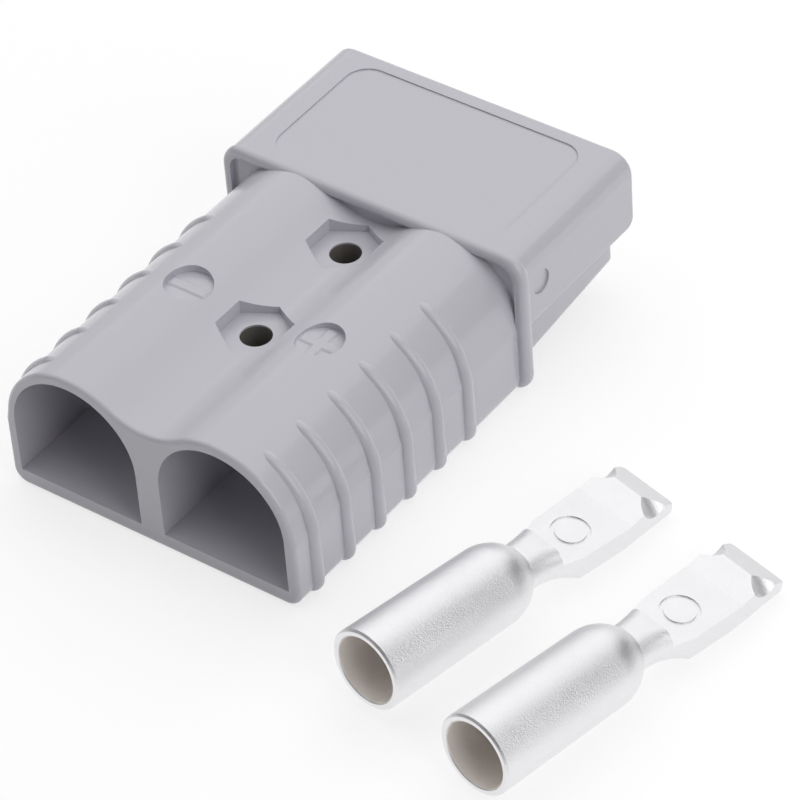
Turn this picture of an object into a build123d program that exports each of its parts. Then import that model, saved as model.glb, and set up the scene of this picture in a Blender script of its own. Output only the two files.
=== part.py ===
from build123d import *
import os

os.makedirs("parts", exist_ok=True)

# Genderless two-pole power connector, in millimetres. Lengths run from the cable end along Y,
# heights from the bottom face along Z, and X goes across. The origin of the finished pieces
# is the middle of the two panel screws on the bottom face.
housing_length = 108.8
housing_height = 32.15
pole_offset = 17.05
mating_plane = 15.2

# Cable half with its two barrels
body_half_width = 33.7
body_length = 73.5
body_bottom_radius = 3.2
barrel_radius = 16.5
barrel_offset = 16.9
barrel_height = 15.3
crease_rise = 2.3
valley_height = 27.0
rim_round = 1.0

# Bead and hood
bead_start = 70.5
bead_length = 3.0
bead_proud = 0.65
bead_bottom_radius = 4.0
bead_round = 1.4
rear_recess_depth = 1.2
rear_rim = 1.8
hood_half_width = 34.95
hood_low = 15.3
hood_wall = 3.0
hood_top_radius = 4.4
hood_lip_radius = 2.5
hood_edge_round = 0.8

# Grip ribs
rib_count = 6
rib_first = 5.75
rib_pitch = 9.63
rib_radius = 1.5
rib_proud = 1.25
rib_bend_height = 14.15
rib_dive_angle = 57
rib_dive_radius = 4.0
rib_foot_radius = 3.4

# Cavities
entry_radius = 14.35
entry_height = 15.55
entry_floor = 3.5
entry_depth = 27.0
chamber_radius = 10.0
chamber_floor = 5.7
chamber_end = 63.0
passage_top = 16.6
cavity_start = 74.0

# Tongue
tongue_half_width = 31.6
tongue_end_half_width = 30.8
tongue_end = 106.8
tongue_bottom = 2.7
tongue_end_bottom = 5.2
tongue_top = 14.9
tongue_corner = 2.0
tongue_front_round = 1.0
tongue_front_wall = 2.4
tongue_front_wall_top = 9.4

# Panel screws, signs and shallow recesses
screw_first = 34.6
screw_spacing = 28.2
screw_hole = 6.3
nut_across_flats = 13.0
nut_depth = 6.75
sign_diameter = 9.6
sign_offset = 15.3
sign_depth = 1.95
dimple_centre = (77.3, 23.4)
dimple_radius = 2.6
dimple_depth = 0.5
label_half_width = 27.0
label_start = 74.2
label_length = 31.3
label_radius = 5.0
label_depth = 0.3

# Contact, measured along its axis from the mouth of the wire barrel
contact_length = 74.4
crimp_radius = 8.15
crimp_end_radius = 7.9
crimp_end = 31.0
crimp_bore = 6.65
crimp_bore_depth = 28.0
shoulder_radius = 9.4
shoulder_end = 39.2
neck_half_width = 4.9
neck_top = 3.4
neck_bottom = -4.2
neck_end = 41.6
face_start = 45.2
face_end = 62.1
face_height = 0.1
blade_start = 49.5
blade_half_width = 6.7
blade_bottom = -5.8
blade_blank_top = 1.8
blade_corner = 1.2
tip_half_width = 6.5
tip_bottom = -4.4
tip_corner = 0.9
ridge_position = 67.8
ridge_height = 1.6
lip_crease = (71.2, -0.5)
lip_edge = (74.0, -2.0)
scoop_radius = 4.6
scoop_position = 69.0
scoop_floor = (5.0, -0.2)
stamp_position = 52.7
stamp_radius = 3.85
stamp_band = 0.85
stamp_depth = 0.25

# Retaining spring
channel_clearance = 0.6
channel_width = 2 * (blade_half_width + channel_clearance)
channel_floor = 7.0
spring_thickness = 0.8
spring_side_clearance = 0.3
spring_slot_width = 12.6
spring_slot_depth = 1.3
passage_floor = channel_floor + spring_slot_depth
spring_hook_position = 66.6
spring_hook_low = 4.6
spring_hook_clearance = 0.2
spring_slot_start = spring_hook_position - spring_thickness / 2 - spring_hook_clearance
spring_hook_room = 1.5 * spring_thickness + 2 * spring_hook_clearance
spring_rise_start = 79.0
spring_peak = (96.5, 11.2)
spring_tip = (102.6, 8.6)

# How the loose contacts lie beside the housing
contact_yaw = 80.9
contact_pitch = -3.9
contact_roll = 7.0
near_contact_mouth = (59.5, -14.3)
far_contact_mouth = (87.7, -21.1)


origin_y = screw_first + screw_spacing / 2


def across(y):
    """Plane across the connector at the length y, drawn in X and Z."""
    return Plane.XZ.offset(origin_y - y)


def level(z):
    """Level plane at the height z, drawn in X and in lengths from the cable end."""
    return Plane((0, -origin_y, z))


def beside(x):
    """Upright plane at x, drawn in lengths from the cable end and heights."""
    return Plane((x, -origin_y, 0), x_dir=(0, 1, 0), z_dir=(1, 0, 0))


def arch(centre_x, centre_z, radius, floor):
    """Round-topped opening with straight sides and a flat floor."""
    with Locations((centre_x, centre_z)):
        Circle(radius)
    with Locations((centre_x, floor)):
        Rectangle(2 * radius, centre_z - floor, align=(Align.CENTER, Align.MIN))
        Rectangle(2 * radius, radius, align=(Align.CENTER, Align.MAX), mode=Mode.SUBTRACT)


# Cable half: two barrels that flow into each other, on upright walls
with BuildPart() as cable_half:
    with BuildSketch(across(0)) as body_profile:
        with Locations((0, barrel_height / 2)):
            Rectangle(2 * body_half_width, barrel_height)
        fillet(body_profile.vertices().group_by(Axis.Y)[0], body_bottom_radius)
        with Locations((-barrel_offset, barrel_height), (barrel_offset, barrel_height)):
            Circle(barrel_radius)
        with BuildLine():
            crease_x = barrel_offset + (barrel_radius**2 - crease_rise**2) ** 0.5 - 0.02
            Polyline(
                (-body_half_width, barrel_height),
                (-crease_x, barrel_height + crease_rise),
                (crease_x, barrel_height + crease_rise),
                (body_half_width, barrel_height),
                close=True,
            )
        make_face()
        barrel_rise = barrel_radius + barrel_height - valley_height
        valley_radius = (barrel_offset**2 + (valley_height - barrel_height) ** 2 - barrel_radius**2) / 2 / barrel_rise
        valley_share = valley_radius / (valley_radius + barrel_radius)
        valley_x = valley_share * barrel_offset
        valley_z = valley_height + valley_radius - valley_share * (valley_height + valley_radius - barrel_height)
        with BuildLine():
            valley = ThreePointArc((-valley_x, valley_z), (0, valley_height), (valley_x, valley_z))
            Polyline(valley @ 1, (barrel_offset, barrel_height), (-barrel_offset, barrel_height), valley @ 0)
        make_face()
        with Locations((0, 0)):
            Rectangle(2 * body_half_width, barrel_radius, align=(Align.CENTER, Align.MAX), mode=Mode.SUBTRACT)
    extrude(amount=-body_length)
    fillet(cable_half.faces().sort_by(Axis.Y)[0].edges(), rim_round)

# Hood, open at the front and on its underside
with BuildPart() as hood:
    hood_start = bead_start + bead_length / 2
    with BuildSketch(across(hood_start)) as hood_outline:
        with Locations((0, (hood_low + housing_height) / 2)):
            Rectangle(2 * hood_half_width, housing_height - hood_low)
        fillet(hood_outline.vertices().group_by(Axis.Y)[-1], hood_top_radius)
    extrude(amount=hood_start - housing_length)
    fillet(hood.edges().filter_by(Axis.X).group_by(Axis.Z)[0].sort_by(Axis.Y)[-1], hood_lip_radius)
    fillet(hood.faces().sort_by(Axis.Y)[-1].edges().filter_by(Axis.X, reverse=True), hood_edge_round)

# Tongue, tapering towards its front
with BuildPart() as tongue:
    for station, half_width, bottom in (
        (hood_start, tongue_half_width, tongue_bottom),
        (tongue_end, tongue_end_half_width, tongue_end_bottom),
    ):
        with BuildSketch(across(station)) as tongue_outline:
            with Locations((0, (tongue_top + bottom) / 2)):
                Rectangle(2 * half_width, tongue_top - bottom)
            fillet(tongue_outline.vertices().group_by(Axis.Y)[0], tongue_corner)
    loft()
    fillet(tongue.faces().sort_by(Axis.Y)[-1].edges(), tongue_front_round)

# One grip rib, a round bar bent around the side, that dives into the barrel above
with BuildPart() as rib:
    bar_side = body_half_width + rib_proud - rib_radius
    with BuildLine(across(rib_first)):
        main = CenterArc((barrel_offset, rib_bend_height), bar_side - barrel_offset, 0, rib_dive_angle)
        down = Line(main @ 0, (bar_side, rib_foot_radius))
        foot = JernArc(down @ 1, down % 1, rib_foot_radius - rib_radius, -90)
        dive = JernArc(main @ 1, main % 1, rib_dive_radius, 60)
    with BuildSketch(Plane(origin=foot @ 1, z_dir=foot % 1)):
        Circle(rib_radius)
    sweep()

# Moulded housing: the bead joins the cable half, the hood and the tongue in one piece
with BuildPart() as housing:
    with BuildSketch(across(bead_start)) as bead_outline:
        with Locations((0, housing_height / 2)):
            Rectangle(2 * (hood_half_width + bead_proud), housing_height)
        fillet(bead_outline.vertices().group_by(Axis.Y)[0], bead_bottom_radius)
        fillet(bead_outline.vertices().group_by(Axis.Y)[-1], hood_top_radius + bead_proud)
    extrude(amount=-bead_length)
    rear_edges = housing.faces().sort_by(Axis.Y)[0].edges()
    front_edges = housing.faces().sort_by(Axis.Y)[-1].edges()
    fillet(rear_edges + front_edges, bead_round)
    rear_recess_top = housing_height - rear_rim
    with BuildSketch(across(bead_start)) as rear_recess:
        with Locations((0, (barrel_height + rear_recess_top) / 2)):
            Rectangle(2 * (body_half_width - 0.3), rear_recess_top - barrel_height)
        fillet(rear_recess.vertices().group_by(Axis.Y)[-1], hood_top_radius - 1)
    extrude(amount=-rear_recess_depth, mode=Mode.SUBTRACT)
    add(cable_half.part)
    add(hood.part)
    add(tongue.part)
    with Locations([(0, number * rib_pitch, 0) for number in range(rib_count)]):
        add(rib.part)
        add(mirror(rib.part, about=Plane.YZ, mode=Mode.PRIVATE))

    # Cable entries, contact chambers and the passages into the hood
    for side in (-1, 1):
        with BuildSketch(across(0)):
            arch(side * pole_offset, entry_height, entry_radius, entry_floor)
        extrude(amount=-entry_depth, mode=Mode.SUBTRACT)
        with BuildSketch(across(entry_depth)):
            arch(side * pole_offset, mating_plane, chamber_radius, chamber_floor)
        extrude(amount=entry_depth - chamber_end, mode=Mode.SUBTRACT)

        with BuildSketch(across(chamber_end)):
            with Locations((side * pole_offset, passage_floor)):
                Rectangle(channel_width, passage_top - passage_floor, align=(Align.CENTER, Align.MIN))
        extrude(amount=chamber_end - cavity_start - 1, mode=Mode.SUBTRACT)
        with BuildSketch(across(cavity_start)):
            with Locations((side * pole_offset, channel_floor)):
                Rectangle(channel_width, tongue_top, align=(Align.CENTER, Align.MIN))
        extrude(amount=cavity_start + tongue_front_wall - tongue_end, mode=Mode.SUBTRACT)
        with BuildSketch(across(tongue_end + 1)):
            with Locations((side * pole_offset, tongue_front_wall_top)):
                Rectangle(channel_width, tongue_top, align=(Align.CENTER, Align.MIN))
        extrude(amount=tongue_front_wall + 2, mode=Mode.SUBTRACT)
        with BuildSketch(level(channel_floor)):
            with Locations((side * pole_offset, spring_slot_start)):
                Rectangle(spring_slot_width, cavity_start + 1 - spring_slot_start, align=(Align.CENTER, Align.MIN))
        extrude(amount=spring_slot_depth, mode=Mode.SUBTRACT)
        with BuildSketch(level(spring_hook_low - spring_hook_clearance)):
            with Locations((side * pole_offset, spring_slot_start)):
                Rectangle(spring_slot_width, spring_hook_room, align=(Align.CENTER, Align.MIN))
        extrude(amount=channel_floor - spring_hook_low + spring_hook_clearance, mode=Mode.SUBTRACT)

    # Hood cavity
    with BuildSketch(across(cavity_start)) as cavity_outline:
        with Locations((0, tongue_top)):
            Rectangle(
                2 * (hood_half_width - hood_wall),
                housing_height - hood_wall - tongue_top,
                align=(Align.CENTER, Align.MIN),
            )
        fillet(cavity_outline.vertices().group_by(Axis.Y)[-1], hood_top_radius - hood_wall)
    extrude(amount=cavity_start - housing_length - 1, mode=Mode.SUBTRACT)

    # Panel screw holes with their nut pockets
    with BuildSketch(level(0)):
        with Locations([(0, screw_first + number * screw_spacing) for number in range(2)]):
            Circle(screw_hole / 2)
    extrude(amount=housing_height, mode=Mode.SUBTRACT)
    with BuildSketch(level(housing_height - nut_depth)):
        with Locations([(0, screw_first + number * screw_spacing) for number in range(2)]):
            RegularPolygon(nut_across_flats / 2, 6, major_radius=False, rotation=30)
    extrude(amount=nut_depth, mode=Mode.SUBTRACT)

    # Recesses for the polarity signs, the bare label and the two side dimples
    with BuildSketch(level(housing_height - sign_depth)):
        with Locations((-sign_offset, screw_first), (sign_offset, screw_first)):
            Circle(sign_diameter / 2)
    extrude(amount=sign_depth, mode=Mode.SUBTRACT)
    with BuildSketch(level(housing_height - label_depth)):
        with Locations((0, label_start + label_length / 2)):
            RectangleRounded(2 * label_half_width, label_length, label_radius)
    extrude(amount=label_depth, mode=Mode.SUBTRACT)
    with BuildSketch(beside(hood_half_width - dimple_depth)):
        with Locations(dimple_centre):
            Circle(dimple_radius)
    extrude(amount=dimple_depth, mode=Mode.SUBTRACT)
    with BuildSketch(beside(dimple_depth - hood_half_width)):
        with Locations(dimple_centre):
            Circle(dimple_radius)
    extrude(amount=-dimple_depth, mode=Mode.SUBTRACT)


def contact_form():
    """One forged contact along its own Y axis, its wire barrel's mouth at the origin."""
    blade_rear = (blade_start, blade_half_width - 0.3, blade_blank_top, blade_bottom, blade_corner)
    blade_middle = (face_end - 2, blade_half_width, blade_blank_top, blade_bottom, blade_corner)
    blade_front = (contact_length, tip_half_width, blade_blank_top, tip_bottom, tip_corner)
    neck_rear = (crimp_end + 6, neck_half_width, neck_top, neck_bottom, 0.95 * (neck_top - neck_bottom) / 2)
    neck_front = (neck_end, neck_half_width, neck_top, neck_bottom, 0.95 * (neck_top - neck_bottom) / 2)
    with BuildPart() as form:
        for stretch in ((neck_rear, neck_front, blade_rear), (blade_rear, blade_middle), (blade_middle, blade_front)):
            for station, half_width, top, bottom, corner in stretch:
                with BuildSketch(Plane.XZ.offset(-station)):
                    with Locations((0, (top + bottom) / 2)):
                        RectangleRounded(2 * half_width, top - bottom, corner)
            loft()

        # Tip seen from above
        with BuildSketch(Plane.XY.offset(-shoulder_radius)):
            with BuildLine():
                tip_rear = contact_length - tip_corner
                left_side = Line((-blade_half_width, crimp_end), (-blade_half_width, tip_rear - tip_corner))
                left_front = (-tip_half_width + tip_corner, tip_rear + 0.5 * tip_corner)
                right_front = (tip_half_width - tip_corner, tip_rear + 0.5 * tip_corner)
                Spline(left_side @ 1, left_front, tangents=[(0, 1), (1, 0.1)])
                ThreePointArc(left_front, (0, contact_length), right_front)
                right_side = Line((blade_half_width, tip_rear - tip_corner), (blade_half_width, crimp_end))
                Spline(right_front, right_side @ 0, tangents=[(1, -0.1), (0, -1)])
                Line(right_side @ 1, left_side @ 0)
            make_face()
        extrude(amount=2 * shoulder_radius, mode=Mode.INTERSECT)

        # Scoops at both sides of the ridge, behind the lip
        for side in (-1, 1):
            floor_x, floor_z = scoop_floor
            lift = scoop_radius / 2**0.5
            scoop_middle = (side * (floor_x + lift), scoop_position, floor_z + lift)
            with BuildSketch(Plane(origin=scoop_middle, z_dir=(side, 0, -1))):
                Circle(scoop_radius)
            extrude(amount=2 * scoop_radius, both=True, mode=Mode.SUBTRACT)

        # Flat contact face, the ridge in front of it and the sloping lip
        with BuildSketch(Plane.YZ):
            with BuildLine():
                Polyline(
                    (face_start - 0.3, shoulder_radius),
                    (face_start, face_height),
                    (face_end, face_height),
                    (ridge_position, ridge_height),
                    lip_crease,
                    lip_edge,
                    (contact_length, lip_edge[1] - 1),
                    (contact_length + 1, -shoulder_radius),
                    (contact_length + 1, shoulder_radius),
                    close=True,
                )
            make_face()
        extrude(amount=shoulder_radius, both=True, mode=Mode.SUBTRACT)
        with BuildSketch(Plane.XY.offset(face_height - stamp_depth)):
            with Locations((0, stamp_position)):
                Circle(stamp_radius)
                Circle(stamp_radius - stamp_band, mode=Mode.SUBTRACT)
        extrude(amount=stamp_depth, mode=Mode.SUBTRACT)

        # Turned wire barrel with its shoulder
        shoulder_end_radius = crimp_end_radius - shoulder_radius
        shoulder_end_radius += (shoulder_radius**2 - (shoulder_end - crimp_end) ** 2) ** 0.5
        with BuildSketch(Plane.XY):
            with BuildLine():
                Polyline(
                    (crimp_bore, 0.3),
                    (crimp_bore + 0.3, 0),
                    (crimp_radius - 0.4, 0),
                    (crimp_radius, 0.4),
                    (crimp_end_radius, crimp_end),
                )
                RadiusArc((crimp_end_radius, crimp_end), (shoulder_end_radius, shoulder_end), -shoulder_radius)
                Polyline(
                    (shoulder_end_radius, shoulder_end),
                    (0, shoulder_end),
                    (0, crimp_bore_depth + 3),
                    (crimp_bore, crimp_bore_depth),
                    (crimp_bore, 0.3),
                )
            make_face()
        revolve(axis=Axis.Y)
    return form.part


def at_rest(form, mouth):
    """The contact turned as it lies and set down on the plane of the bottom face."""
    turned = Rotation(0, 0, contact_yaw - 90) * Rotation(contact_pitch, 0, 0) * Rotation(0, contact_roll, 0) * form
    return Location((mouth[0], mouth[1] - origin_y, -turned.bounding_box().min.Z)) * turned


# Forged contacts, lying loose beside the housing
with BuildPart() as near_contact:
    add(at_rest(contact_form(), near_contact_mouth))

with BuildPart() as far_contact:
    add(at_rest(contact_form(), far_contact_mouth))


def spring_form(side):
    """One bent leaf spring, hooked into the housing floor below a contact."""
    spring_middle = channel_floor + spring_thickness / 2
    spring_half_width = spring_slot_width / 2 - spring_side_clearance
    with BuildPart() as form:
        with BuildSketch(beside(side * pole_offset)):
            with BuildLine():
                bend = spring_thickness
                hook = Line((spring_hook_position, spring_hook_low), (spring_hook_position, spring_middle - bend))
                corner = JernArc(hook @ 1, hook % 1, bend, -90)
                flat = Line(corner @ 1, (spring_rise_start, spring_middle))
                Spline(flat @ 1, spring_peak, spring_tip, tangents=[(1, 0), (1, -0.75)])
            trace(line_width=spring_thickness)
        extrude(amount=spring_half_width, both=True)
    return form.part


# Retaining springs, one under each contact channel
with BuildPart() as left_retaining_spring:
    add(spring_form(-1))

with BuildPart() as right_retaining_spring:
    add(spring_form(1))

housing.part.label = "housing"
near_contact.part.label = "near_contact"
far_contact.part.label = "far_contact"
left_retaining_spring.part.label = "left_retaining_spring"
right_retaining_spring.part.label = "right_retaining_spring"

export_step(housing.part, "parts/housing.step")
export_step(near_contact.part, "parts/near_contact.step")
export_step(far_contact.part, "parts/far_contact.step")
export_step(left_retaining_spring.part, "parts/left_retaining_spring.step")
export_step(right_retaining_spring.part, "parts/right_retaining_spring.step")
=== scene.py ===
import math

import bmesh
import bpy
from mathutils import Euler, Matrix, Vector


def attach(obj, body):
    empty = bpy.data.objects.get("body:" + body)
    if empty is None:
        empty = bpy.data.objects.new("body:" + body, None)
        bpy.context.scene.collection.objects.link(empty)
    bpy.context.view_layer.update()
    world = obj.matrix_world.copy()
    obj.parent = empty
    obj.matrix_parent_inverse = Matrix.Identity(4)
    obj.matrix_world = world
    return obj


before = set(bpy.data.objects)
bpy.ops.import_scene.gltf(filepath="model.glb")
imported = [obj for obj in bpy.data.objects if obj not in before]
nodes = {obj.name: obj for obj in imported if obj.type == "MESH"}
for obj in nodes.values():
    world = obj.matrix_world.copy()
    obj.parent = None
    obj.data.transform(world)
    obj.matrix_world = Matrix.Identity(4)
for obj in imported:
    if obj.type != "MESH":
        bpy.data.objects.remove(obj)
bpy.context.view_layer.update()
scene = bpy.context.scene

# The photograph's view. A pinhole camera was fitted to the moulding's straight edges: it stands
# behind the cable end on the side of the loose contacts and looks down with a slight roll.
frame_width = 800
focal_pixels = 4587.5
camera_place = Vector((0.42705, -0.50473, 0.57874))
image_right = Vector((0.81029, 0.58294, -0.06012))
image_down = Vector((0.34998, -0.56363, -0.74822))
image_away = Vector((-0.47006, 0.58523, -0.66072))

camera_data = bpy.data.cameras.new("product_camera")
camera_data.sensor_width = 36.0
camera_data.lens = camera_data.sensor_width * focal_pixels / frame_width
camera_data.clip_end = 10.0
camera = bpy.data.objects.new("product_camera", camera_data)
turn = Matrix((image_right, -image_down, -image_away)).transposed().to_4x4()
camera.matrix_world = Matrix.Translation(camera_place) @ turn
scene.collection.objects.link(camera)
scene.camera = camera
scene.view_settings.view_transform = "Standard"


# White table and soft studio light. The table is a plain matt sheet. A large softbox and a small
# panel hang overhead, another stands on the side of the contacts, and a white panel leans behind
# the mating end, where the silver mirrors it. The room is dim, so the hollows stay dark.
class Link:
    """One shader socket that takes part in Python sums."""

    def __init__(self, tree, socket):
        self.tree = tree
        self.socket = socket

    def maths(self, operation, *others):
        return self.tree.node("ShaderNodeMath", {"operation": operation}, (self, *others))

    def __add__(self, other):
        return self.maths("ADD", other)

    def __sub__(self, other):
        return self.maths("SUBTRACT", other)

    def __mul__(self, other):
        return self.maths("MULTIPLY", other)

    def __rsub__(self, other):
        return self.tree.node("ShaderNodeMath", {"operation": "SUBTRACT"}, (other, self))

    __radd__ = __add__
    __rmul__ = __mul__


class Finish:
    """A material whose nodes are added one by one."""

    def __init__(self, name):
        self.material = bpy.data.materials.new(name)
        self.material.use_nodes = True
        self.nodes = self.material.node_tree.nodes
        self.links = self.material.node_tree.links
        self.nodes.clear()

    def node(self, kind, settings=None, values=(), output=0):
        made = self.nodes.new(kind)
        for name, setting in (settings or {}).items():
            setattr(made, name, setting)
        pairs = values.items() if isinstance(values, dict) else enumerate(values)
        for name, value in pairs:
            if isinstance(value, Link):
                self.links.new(value.socket, made.inputs[name])
            else:
                made.inputs[name].default_value = value
        return Link(self, made.outputs[output]) if len(made.outputs) else None

    def close(self, surface):
        self.node("ShaderNodeOutputMaterial", None, {"Surface": surface})
        return self.material


table_white = (0.92, 0.92, 0.92, 1.0)
glow_white = (1.0, 1.0, 1.0, 1.0)
glow_strength = 1.15
glow_seen = 0.6
glow_mirrored = 0.8
table_half = 3.0
table_drop = 0.00005

table_finish = Finish("white_table")
table_sheet = table_finish.node("ShaderNodeBsdfDiffuse", None, {"Color": table_white})
table_glow = table_finish.node("ShaderNodeEmission", None, {"Color": glow_white, "Strength": glow_strength})
seen = table_finish.node("ShaderNodeLightPath", None, (), "Is Camera Ray")
mirrored = table_finish.node("ShaderNodeLightPath", None, (), "Is Glossy Ray")
share = seen * glow_seen + mirrored * glow_mirrored
table_surface = table_finish.node("ShaderNodeMixShader", None, (share, table_sheet, table_glow))
corner_signs = ((-1, -1), (1, -1), (1, 1), (-1, 1))
table_corners = [(x * table_half, y * table_half, -table_drop) for x, y in corner_signs]
table_mesh = bpy.data.meshes.new("table")
table_mesh.from_pydata(table_corners, [], [(0, 1, 2, 3)])
table_mesh.materials.append(table_finish.close(table_surface))
table = bpy.data.objects.new("table", table_mesh)
scene.collection.objects.link(table)

room_white = (1.0, 1.0, 1.0, 1.0)
room_strength = 0.10
room = bpy.data.worlds.new("white_room")
room.use_nodes = True
room.node_tree.nodes["Background"].inputs["Color"].default_value = room_white
room.node_tree.nodes["Background"].inputs["Strength"].default_value = room_strength
scene.world = room


def softbox(name, place, target, width, height, power):
    """A rectangular area lamp that faces its target."""
    lamp = bpy.data.lights.new(name, "AREA")
    lamp.shape = "RECTANGLE"
    lamp.size = width
    lamp.size_y = height
    lamp.energy = power
    holder = bpy.data.objects.new(name, lamp)
    holder.location = place
    holder.rotation_euler = (Vector(target) - Vector(place)).to_track_quat("-Z", "Y").to_euler()
    scene.collection.objects.link(holder)


subject = (0.03, 0.0, 0.015)
softbox("overhead_softbox", (-0.30, 0.34, 1.05), subject, 2.6, 2.0, 17.0)
softbox("top_panel", (-0.30, 0.15, 1.00), subject, 0.7, 0.7, 0.25)
softbox("side_softbox", (0.90, -0.10, 0.55), subject, 0.8, 0.8, 4.2)
softbox("rear_panel", (-0.55, 1.05, 0.34), subject, 1.6, 0.6, 2.2)


# Housing. It is moulded in one piece from light grey glass-filled plastic in a steel tool with
# a fine spark-eroded satin, so it has a soft gloss and no parting seam on show. The two screw
# holes are painted a dark brown-grey inside: painted shade for the dark depth of the holes.
plastic_grey = (0.575, 0.565, 0.615, 1.0)
plastic_roughness = 0.19
plastic_haze = 0.08
cloud_scale = 90.0
mould_scale = 2600.0
mould_grain_strength = 0.05
relief_height = 0.0001
# Painted shade: the colour of the screw holes' walls, darkened where shade falls deep in the holes.
hole_painted_shade = (0.20, 0.185, 0.17, 1.0)
screw_place = 0.0141
screw_reach = 0.0033
hole_top = 0.0250

plastic = Finish("grey_moulded_plastic")
place = plastic.node("ShaderNodeTexCoord", None, (), "Object")
spot = plastic.node("ShaderNodeSeparateXYZ", None, (place,), "X")
along = plastic.node("ShaderNodeSeparateXYZ", None, (place,), "Y").maths("ABSOLUTE") - screw_place
height = plastic.node("ShaderNodeSeparateXYZ", None, (place,), "Z")
off_axis = (spot * spot + along * along).maths("LESS_THAN", screw_reach**2)
# Mask of the two screw holes, where the painted shade colour goes.
in_hole = off_axis * height.maths("LESS_THAN", hole_top)
cloud = plastic.node("ShaderNodeTexNoise", None, {"Vector": place, "Scale": cloud_scale, "Detail": 3.0})
grain = plastic.node("ShaderNodeTexNoise", None, {"Vector": place, "Scale": mould_scale, "Detail": 2.0})
roughness = cloud * plastic_haze + (plastic_roughness - plastic_haze / 2)
relief = plastic.node(
    "ShaderNodeBump",
    None,
    {"Strength": mould_grain_strength, "Distance": relief_height, "Height": grain},
)
colour = plastic.node(
    "ShaderNodeMix", {"data_type": "RGBA"}, {0: in_hole, 6: plastic_grey, 7: hole_painted_shade}, 2
)
plastic_surface = plastic.node(
    "ShaderNodeBsdfPrincipled",
    None,
    {"Base Color": colour, "Roughness": roughness, "Normal": relief},
)
grey_plastic = plastic.close(plastic_surface)


def finish_node(name, material):
    """Gives every slot of a CAD piece one finish."""
    piece = nodes[name]
    for material_slot in piece.material_slots:
        material_slot.material = material


finish_node("housing", grey_plastic)


# Polarity signs. They are raised bars in the two shallow round recesses, cut into the same
# tool as the housing, so they are the same grey plastic.
cable_end = -0.0487
sign_height = 0.0302
sign_place = 0.0346
bar_length = 0.0080
bar_width = 0.0017
bar_rise = 0.0003
bar_sunk = 0.0001
bar_draft = 0.0006


def sign_outline(arms, grow):
    """A bar's outline, or a cross's where the sign has four arms, widened all round by grow."""
    half, wide = bar_length / 2 + grow, bar_width / 2 + grow
    if arms == 2:
        return [(-half, -wide), (half, -wide), (half, wide), (-half, wide)]
    return [
        (-half, -wide), (-wide, -wide), (-wide, -half), (wide, -half), (wide, -wide), (half, -wide),
        (half, wide), (wide, wide), (wide, half), (-wide, half), (-wide, wide), (-half, wide),
    ]


def raised_sign(name, centre_x, arms):
    """A sign lifted off the recess's floor, with the sloping sides that let it leave the tool."""
    shape = bmesh.new()
    foot = [shape.verts.new((x, y, -bar_sunk)) for x, y in sign_outline(arms, bar_draft)]
    head = [shape.verts.new((x, y, bar_rise)) for x, y in sign_outline(arms, 0.0)]
    shape.faces.new(foot)
    shape.faces.new(head)
    for index in range(len(foot)):
        after = (index + 1) % len(foot)
        shape.faces.new((foot[index], foot[after], head[after], head[index]))
    bmesh.ops.recalc_face_normals(shape, faces=shape.faces)
    bmesh.ops.translate(shape, verts=shape.verts, vec=(centre_x, cable_end + sign_place, sign_height))
    mesh = bpy.data.meshes.new(name)
    shape.to_mesh(mesh)
    shape.free()
    mesh.materials.append(grey_plastic)
    piece = bpy.data.objects.new(name, mesh)
    scene.collection.objects.link(piece)
    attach(piece, "root")


raised_sign("minus_sign", -0.0153, 2)
raised_sign("plus_sign", 0.0153, 4)


# Contacts. Each is cold forged and turned from copper rod and plated with silver, which leaves
# a soft white sheen with fine grain. Deep in the wire barrel the plating is thin and warmer, and
# the bore is painted a brighter matt white as painted light for the lit inside of the barrel.
silver_white = (0.815, 0.810, 0.825, 1.0)
# Painted light: the bore's colour is a brighter warm white, set with metal turned off, so the barrel's
# inside reads lit.
bore_warm_painted_light = (0.99, 0.93, 0.88, 1.0)
bore_radius = 0.0068
bore_depth = 0.0282
silver_roughness = 0.26
silver_haze = 0.16
bore_haze = 0.10
silver_grain_scale = (4200.0, 2600.0, 4200.0)
silver_grain_strength = 0.75
haze_scale = 160.0
near_mouth = (0.0595, -0.0630, 0.01051)
far_mouth = (0.0877, -0.0698, 0.01051)
contact_pitch = math.radians(-3.9)
contact_roll = math.radians(7.0)
contact_yaw = math.radians(-9.1)
contact_turn = Euler((contact_pitch, contact_roll, contact_yaw), "YXZ").to_matrix().to_euler("XYZ")


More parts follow.
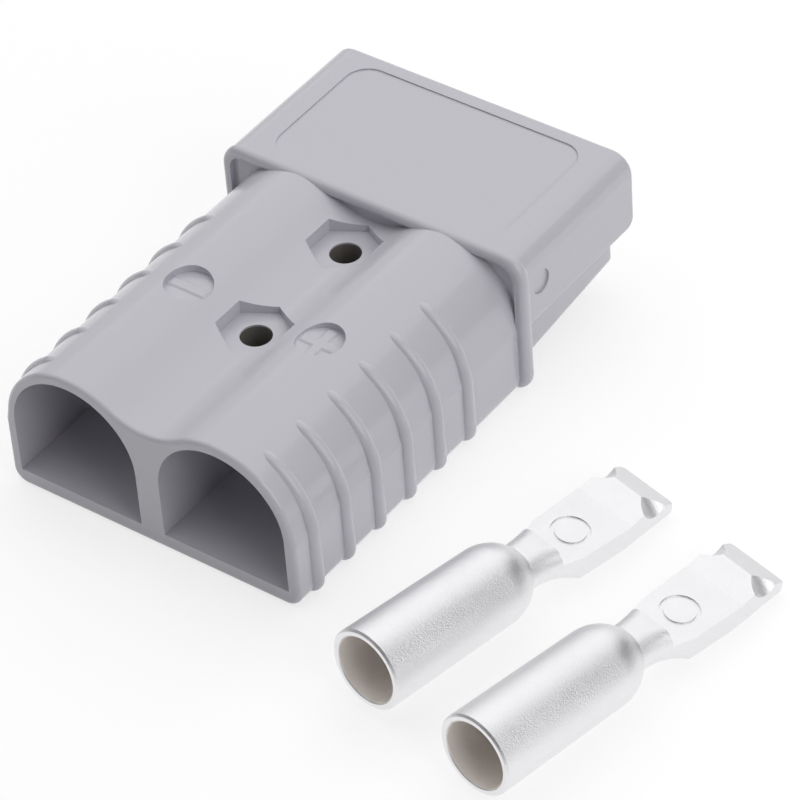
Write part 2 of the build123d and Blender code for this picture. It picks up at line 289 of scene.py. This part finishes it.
def silver_plate(name, mouth):
    """Plated silver, with the wire barrel's inside found by its distance from the axis and given a brighter
    warm white as painted light.
    """
    silver = Finish(name)
    place = silver.node("ShaderNodeTexCoord", None, (), "Object")
    local = silver.node(
        "ShaderNodeMapping",
        {"vector_type": "TEXTURE"},
        {"Vector": place, "Location": mouth, "Rotation": contact_turn},
    )
    flat = silver.node("ShaderNodeVectorMath", {"operation": "MULTIPLY"}, (local, (1.0, 0.0, 1.0)))
    radius = silver.node("ShaderNodeVectorMath", {"operation": "LENGTH"}, (flat,), "Value")
    depth = silver.node("ShaderNodeSeparateXYZ", None, (local,), "Y")
    inside = radius.maths("LESS_THAN", bore_radius) * depth.maths("LESS_THAN", bore_depth)
    stretched = silver.node("ShaderNodeMapping", None, {"Vector": local, "Scale": silver_grain_scale})
    grain = silver.node("ShaderNodeTexNoise", None, {"Vector": stretched, "Scale": 1.0, "Detail": 4.0})
    haze = silver.node("ShaderNodeTexNoise", None, {"Vector": local, "Scale": haze_scale, "Detail": 2.0})
    roughness = haze * silver_haze + grain * silver_haze + inside * bore_haze + silver_roughness
    # Inside the bore the colour switches to the painted-light warm white and the metal is turned off.
    colour = silver.node(
        "ShaderNodeMix", {"data_type": "RGBA"}, {0: inside, 6: silver_white, 7: bore_warm_painted_light}, 2
    )
    relief = silver.node(
        "ShaderNodeBump",
        None,
        {"Strength": silver_grain_strength, "Distance": relief_height, "Height": grain},
    )
    surface = silver.node(
        "ShaderNodeBsdfPrincipled",
        None,
        {"Base Color": colour, "Metallic": 1.0 - inside, "Roughness": roughness, "Normal": relief},
    )
    return silver.close(surface)


finish_node("near_contact", silver_plate("near_silver", near_mouth))
finish_node("far_contact", silver_plate("far_silver", far_mouth))


# Retaining springs. Each is one leaf of hard stainless strip, bent and hooked into the floor
# under a contact's place.
steel_grey = (0.62, 0.61, 0.60, 1.0)
steel_roughness = 0.3

steel = Finish("stainless_strip")
steel_surface = steel.node(
    "ShaderNodeBsdfPrincipled",
    None,
    {"Base Color": steel_grey, "Metallic": 1.0, "Roughness": steel_roughness},
)
stainless_strip = steel.close(steel_surface)
finish_node("left_retaining_spring", stainless_strip)
finish_node("right_retaining_spring", stainless_strip)
